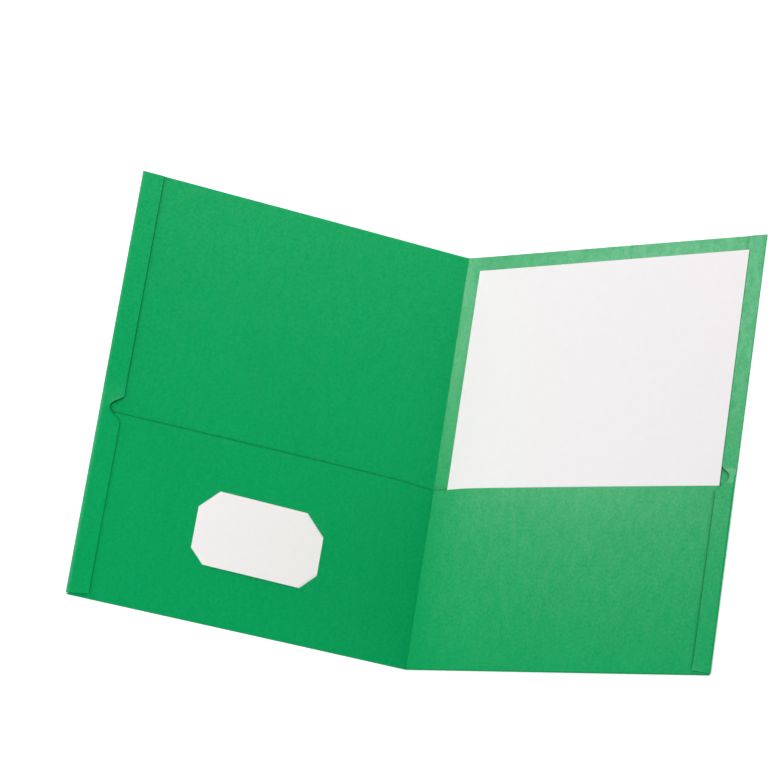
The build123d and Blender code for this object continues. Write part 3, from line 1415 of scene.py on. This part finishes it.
@dataclass(frozen=True)
class Hem:
    """The strip folded in along one open edge, with the round fold that carries it."""

    folder: Folder
    stiffness: Stiffness
    mouths: MouthLine
    side: Side
    notch: Notch = NOTCH
    foot_gap: float = 0.3
    foot_slant: float = 2.3
    slant_fade: float = 16.0
    foot_lift: float = 0.6
    foot_reach: float = 5.0
    ripple_length: float = 31.0
    wear_and_highlight_reach: float = 1.4
    arc_steps: int = 15
    flat_steps: int = 19
    lower_rows: int = 49
    upper_rows: int = 61

    def outline(self) -> tuple[Array, Array]:
        """The strip's inner edge from its foot to the top: straight, notched, straight.

        Returns:
            Distances from the spine and heights, in rising order.
        """
        folder = self.folder
        depth, height = self.notch.upper_half()
        middle = self.notch.middle(folder)
        foot = folder.fold_radius + self.foot_gap
        low_end, high_end = middle - height[-1], middle + height[-1]
        lower = foot + (low_end - foot) * eased(self.lower_rows)[:-1]
        upper = high_end + (folder.height - high_end) * eased(self.upper_rows)[1:]
        v = np.concatenate((lower, middle - height[::-1], middle + height[1:], upper))
        cut = np.concatenate((np.zeros(len(lower)), depth[::-1], depth[1:], np.zeros(len(upper))))
        return hem_line(folder, self.side) + cut, v

    def ramp(self, v: Number) -> Number:
        """Share of the way down off the flap, along a smooth step from just above its mouth.

        Args:
            v: height above the bottom fold.

        Returns:
            The share, from 0 to 1.
        """
        hem_set = HEM_SETS[self.side]
        foot = float(self.mouths.height(self.side, self.folder.hem_edge)) + hem_set.ramp_gap
        return smooth_step(foot, foot + hem_set.ramp_length, v)

    def strip_level(self, v: Number) -> Number:
        """Level of the strip's under face: over the flap, then eased down to the cover."""
        return self.folder.lower_hem + (self.folder.upper_hem - self.folder.lower_hem) * self.ramp(v)

    def curl(self, v: Number) -> Number:
        """How far the strip's inner edge stands up, with a slow sine ripple beside the flap.

        Args:
            v: height above the bottom fold.

        Returns:
            The rise of the edge.
        """
        above, hem_set = self.ramp(v), HEM_SETS[self.side]
        wave = 1.0 + hem_set.ripple * np.sin(2 * np.pi * v / self.ripple_length)
        return hem_set.lower_curl * wave * (1.0 - above) + hem_set.upper_curl * above

    def build_strip(self) -> bpy.types.Object:
        """The fold and strip: a section carried up the open edge.

        Each section leaves the cover, turns through half a circle whose height is the strip's
        level, and runs back flat to the inner edge, which curls up by a square law.

        Returns:
            The hem, without its finish.
        """
        folder = self.folder
        edge, up = (part[:, None] for part in self.outline())
        level = self.strip_level(up)
        radius = (level + folder.stock) / 2
        angle = np.linspace(-np.pi / 2, np.pi / 2, self.arc_steps)[None, :]
        across = eased(self.flat_steps)[1:][None, :]
        start = folder.width - radius
        flat_u = start + (edge - start) * across
        foot = self.foot_lift * np.exp(-(up - up[0]) / self.foot_reach)
        curl = self.curl(up) * across**2 + foot * across
        lead = np.full_like(up, folder.panel_end)
        faces = []
        for thick, flat in ((folder.stock, level), (0.0, level + folder.stock)):
            reach = radius - thick
            u = np.concatenate((lead, start + reach * np.cos(angle), flat_u), axis=1)
            arc_w = radius + reach * np.sin(angle)
            w = np.concatenate((np.full_like(up, thick), arc_w, flat + curl), axis=1)
            slant = self.foot_slant * (folder.width - u) / (folder.width - folder.hem_edge)
            fade = 1.0 - smooth_step(0.0, self.slant_fade, up)
            bow = self.stiffness.bow(folder, self.side, u)
            faces.append(folder.place(self.side, u, up + slant * fade, w + bow))
        # Paler rub along the fold: partly real wear and partly a painted highlight on the rounded fold.
        wear_and_highlight_share = HEM_SETS[self.side].fold_rub_and_highlight * np.clip(1.0 - (start - u) / self.wear_and_highlight_reach, 0.0, 1.0)
        marks = stock_marks(u.shape, wear_and_highlight_share)
        return sheet_object(self.side.value + "_hem_strip", faces[0], faces[1], plain_grid(*u.shape), marks)

    def build(self, finishes: Finishes) -> None:
        """Builds the hem, dresses it and seats it on its panel's body.

        Args:
            finishes: the materials.
        """
        hem = self.build_strip()
        finishes.dress(hem, STOCKS[self.side], CUT_STOCK)
        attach(hem, self.side.value)
        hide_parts(self.side.value + "_hem", self.side.value + "_edge_fold")


@dataclass(frozen=True)
class BusinessCard:
    """The blank card whose corners are tucked through the front flap's slits."""

    folder: Folder
    stiffness: Stiffness
    place: CardPlace
    stock: float = 0.3
    clearance: float = 0.06
    tuck: float = 1.5
    bow: float = 0.35
    columns: int = 131
    rows: int = 81

    def build(self, finishes: Finishes) -> None:
        """Builds the card, dresses it and seats it on the front cover's body.

        The card steps down through each slit along a smooth step, to lie behind the flap at its
        corners. Held there, it bows off the flap between them, as half a cosine wave across.

        Args:
            finishes: the materials.
        """
        folder, side = self.folder, Side.FRONT
        a = (self.place.width * (np.linspace(0.0, 1.0, self.columns) - 0.5))[None, :]
        b = (self.place.height * (np.linspace(0.0, 1.0, self.rows) - 0.5))[:, None]
        u, v = self.place.from_card(*np.broadcast_arrays(a, b))
        out = self.place.from_slits(u, v, self.place.outwards).max(axis=-1)
        face = folder.pocket_top + self.clearance
        tab = folder.pocket_level - self.clearance - self.stock
        level = face + (tab - face) * smooth_step(-self.tuck, self.tuck, out)
        card_bow = self.bow * np.cos(np.pi * a / self.place.width)
        level = level + card_bow + self.stiffness.bow(folder, side, u)
        under, over = folder.faces(side, u, v, level, self.stock)
        card = sheet_object("card_in_slits", under, over, plain_grid(self.rows, self.columns))
        finishes.dress(card, CARD_BOARD, CARD_EDGE)
        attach(card, side.value)
        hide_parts("business_card")


@dataclass(frozen=True)
class LetterSheet:
    """The sheet of paper in the back pocket, a little slack above the mouth."""

    folder: Folder
    slack_from: float = 8.0
    slack_over: float = 70.0
    wave: float = 0.1
    left_lift: float = 0.3
    right_lift: float = 0.25
    right_from: float = -2.0
    right_over: float = 14.0
    edge_reach: float = 12.0
    shift: float = 0.6
    askew: float = math.radians(0.12)
    columns: int = 61
    rows: int = 81

    def build(self, finishes: Finishes) -> None:
        """Builds the sheet, dresses it and seats it on its own body.

        Above the mouth it carries one slow wave across, and its long edges lift a little, by
        an exponential from each edge. It stands a touch askew, turned about its middle.

        Args:
            finishes: the materials.
        """
        folder = self.folder
        low, high = (np.array(corner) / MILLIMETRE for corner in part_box("letter_sheet"))
        left, right = low[0] - folder.spine_x, high[0] - folder.spine_x
        bottom, top = low[1] - folder.foot_y, high[1] - folder.foot_y
        u = (left + (right - left) * eased(self.columns))[None, :]
        v = (bottom + (top - bottom) * eased(self.rows))[:, None]
        above_mouth = v - folder.mouth_height
        slack = smooth_step(self.slack_from, self.slack_over, above_mouth)
        clear = smooth_step(self.right_from, self.right_over, above_mouth)
        share = (u - left) / (right - left)
        wave = self.wave * (1.0 - np.cos(2 * np.pi * share)) / 2
        left_edge = self.left_lift * np.exp(-(u - left) / self.edge_reach)
        right_edge = self.right_lift * np.exp(-(right - u) / self.edge_reach)
        level = low[2] + slack * (wave + left_edge) + clear * right_edge
        across, up = u - (left + right) / 2, v - (bottom + top) / 2
        cosine, sine = math.cos(self.askew), math.sin(self.askew)
        u = (left + right) / 2 + self.shift + across * cosine - up * sine
        v = (bottom + top) / 2 + across * sine + up * cosine
        under, over = folder.faces(Side.BACK, u, v, level, high[2] - low[2])
        sheet = sheet_object("letter_paper", under, over, plain_grid(self.rows, self.columns))
        finishes.dress(sheet, WRITING_PAPER, PAPER_EDGE)
        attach(sheet, "sheet")
        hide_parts("letter_sheet")


@dataclass(frozen=True)
class GlueFilms:
    """The films of glue under the hems, which stay as the frame has them."""

    nodes: tuple = ("front_cover_glue", "front_pocket_glue", "back_cover_glue", "back_pocket_glue")

    def build(self, finishes: Finishes) -> None:
        """Gives each film its finish.

        Args:
            finishes: the materials.
        """
        for node in self.nodes:
            film = frame["nodes"][node]
            film.data.materials.clear()
            film.data.materials.append(finishes.of(GLUE))
            log.info("%s: kept", node)


@dataclass(frozen=True)
class Softbox:
    """An oblong studio lamp, turned about its aim. Sizes are in metres."""

    name: str
    place: tuple
    width: float
    height: float
    power: float
    roll: float = 0.0
    target: tuple = (-0.05, 0.0, 0.05)

    def build(self) -> None:
        """Adds the lamp, facing its target, with its width level before the roll."""
        lamp = bpy.data.lights.new(self.name, "AREA")
        lamp.shape = "RECTANGLE"
        lamp.size = self.width
        lamp.size_y = self.height
        lamp.energy = self.power
        box = bpy.data.objects.new(self.name, lamp)
        aim = Vector(self.target) - Vector(self.place)
        facing = aim.to_track_quat("-Z", "Y").to_matrix().to_4x4()
        turned = facing @ Matrix.Rotation(self.roll, 4, "Z")
        box.matrix_world = Matrix.Translation(self.place) @ turned
        bpy.context.scene.collection.objects.link(box)


@dataclass(frozen=True)
class Studio:
    """Pale floor, soft lamps, dim surroundings and the camera. Places are in metres."""

    floor_size: float = 16.0
    floor_drop: float = 0.0003
    floor_colour: tuple = colour(248, 248, 248)
    floor_glow: float = 0.42
    far_glow: float = 1.0
    glow_from: float = 0.45
    glow_to: float = 1.5
    surroundings: tuple = colour(236, 238, 240)
    surroundings_strength: float = 0.06
    camera_place: tuple = (1.17379, -0.51725, 1.64744)
    camera_target: tuple = (-0.11240, 0.02946, 0.08002)
    camera_up: tuple = (0.04059, 0.95333, 0.29920)
    camera_lens: float = 148.37
    lamps: tuple = (
        Softbox("side_softbox", (0.500, 0.800, 0.300), width=0.35, height=0.35, power=6.31),
        Softbox("front_softbox", (0.100, -0.700, 1.100), width=0.45, height=0.45, power=9.64),
        Softbox(
            "sheen_softbox", (-0.502, 0.372, 0.767), width=0.384, height=0.137, power=3.65, roll=-0.271
        ),
    )

    def build_floor(self) -> None:
        """Adds the floor just under the folder: one square grid with a plain pale finish.

        Its glow grows with the distance from the middle, where the lamps no longer reach.
        """
        half = self.floor_size / 2
        x, y = np.meshgrid((-half, half), (-half, half))
        points = np.stack((x, y, np.full_like(x, -self.floor_drop)), axis=-1).reshape(-1, 3)
        mesh = bpy.data.meshes.new("studio_floor")
        mesh.from_pydata(points.tolist(), [], plain_grid(2, 2).tolist())
        material, graph = Graph.of_material("pale_floor")
        seen = graph.add("ShaderNodeLightPath", {}, {}, "Is Camera Ray")
        for ray in ("Is Glossy Ray", "Is Transmission Ray"):
            seen = graph.maths("MAXIMUM", seen, graph.add("ShaderNodeLightPath", {}, {}, ray))
        where = graph.where()
        away = graph.add("ShaderNodeVectorMath", {"operation": "LENGTH"}, {0: where}, "Value")
        sockets = {
            "Value": away,
            "From Min": self.glow_from,
            "From Max": self.glow_to,
            "To Min": self.floor_glow,
            "To Max": self.far_glow,
        }
        settings = {"interpolation_type": "SMOOTHSTEP"}
        strength = graph.add("ShaderNodeMapRange", settings, sockets, "Result")
        glow = graph.mix(seen * strength, BLACK, self.floor_colour)
        sockets = {
            "Base Color": self.floor_colour,
            "Roughness": 1.0,
            "Specular IOR Level": 0.0,
            "Emission Color": glow,
            "Emission Strength": 1.0,
        }
        graph.surface(sockets)
        mesh.materials.append(material)
        floor = bpy.data.objects.new("studio_floor", mesh)
        bpy.context.scene.collection.objects.link(floor)

    def build_world(self) -> None:
        """Fills the surroundings with one pale grey."""
        scene = bpy.context.scene
        scene.world = bpy.data.worlds.new("surroundings")
        scene.world.use_nodes = True
        graph = Graph(scene.world.node_tree)
        sockets = {"Color": self.surroundings, "Strength": self.surroundings_strength}
        light = graph.add("ShaderNodeBackground", {}, sockets)
        graph.add("ShaderNodeOutputWorld", {}, {"Surface": light})

    def build_camera(self) -> None:
        """Adds the camera at the photograph's viewing angle."""
        back = (Vector(self.camera_place) - Vector(self.camera_target)).normalized()
        right = Vector(self.camera_up).cross(back).normalized()
        turn = Matrix((right, back.cross(right), back)).transposed().to_4x4()
        lens = bpy.data.cameras.new("picture_camera")
        lens.lens = self.camera_lens
        camera = bpy.data.objects.new("picture_camera", lens)
        camera.matrix_world = Matrix.Translation(self.camera_place) @ turn
        bpy.context.scene.collection.objects.link(camera)
        bpy.context.scene.camera = camera

    def build(self) -> None:
        """Builds the floor, surroundings, lamps and camera."""
        self.build_floor()
        self.build_world()
        for lamp in self.lamps:
            lamp.build()
        self.build_camera()
        bpy.context.scene.view_settings.view_transform = "Standard"


def main() -> None:
    """Builds every piece in order, then the studio round them."""
    logging.basicConfig(level=logging.INFO, format="%(name)s: %(message)s")
    folder = Folder.from_frame()
    stiffness = Stiffness()
    finishes = Finishes()
    card_place = CardPlace()
    mouths = MouthLine(folder)
    cover = CoverSheet(folder, stiffness, mouths)
    cover.build(finishes)
    PocketSheet(folder, stiffness, card_place, mouths).build(finishes, cover)
    for side in Side:
        Hem(folder, stiffness, mouths, side).build(finishes)
    BusinessCard(folder, stiffness, card_place).build(finishes)
    LetterSheet(folder).build(finishes)
    GlueFilms().build(finishes)
    Studio().build()


if __name__ == "__main__":
    main()
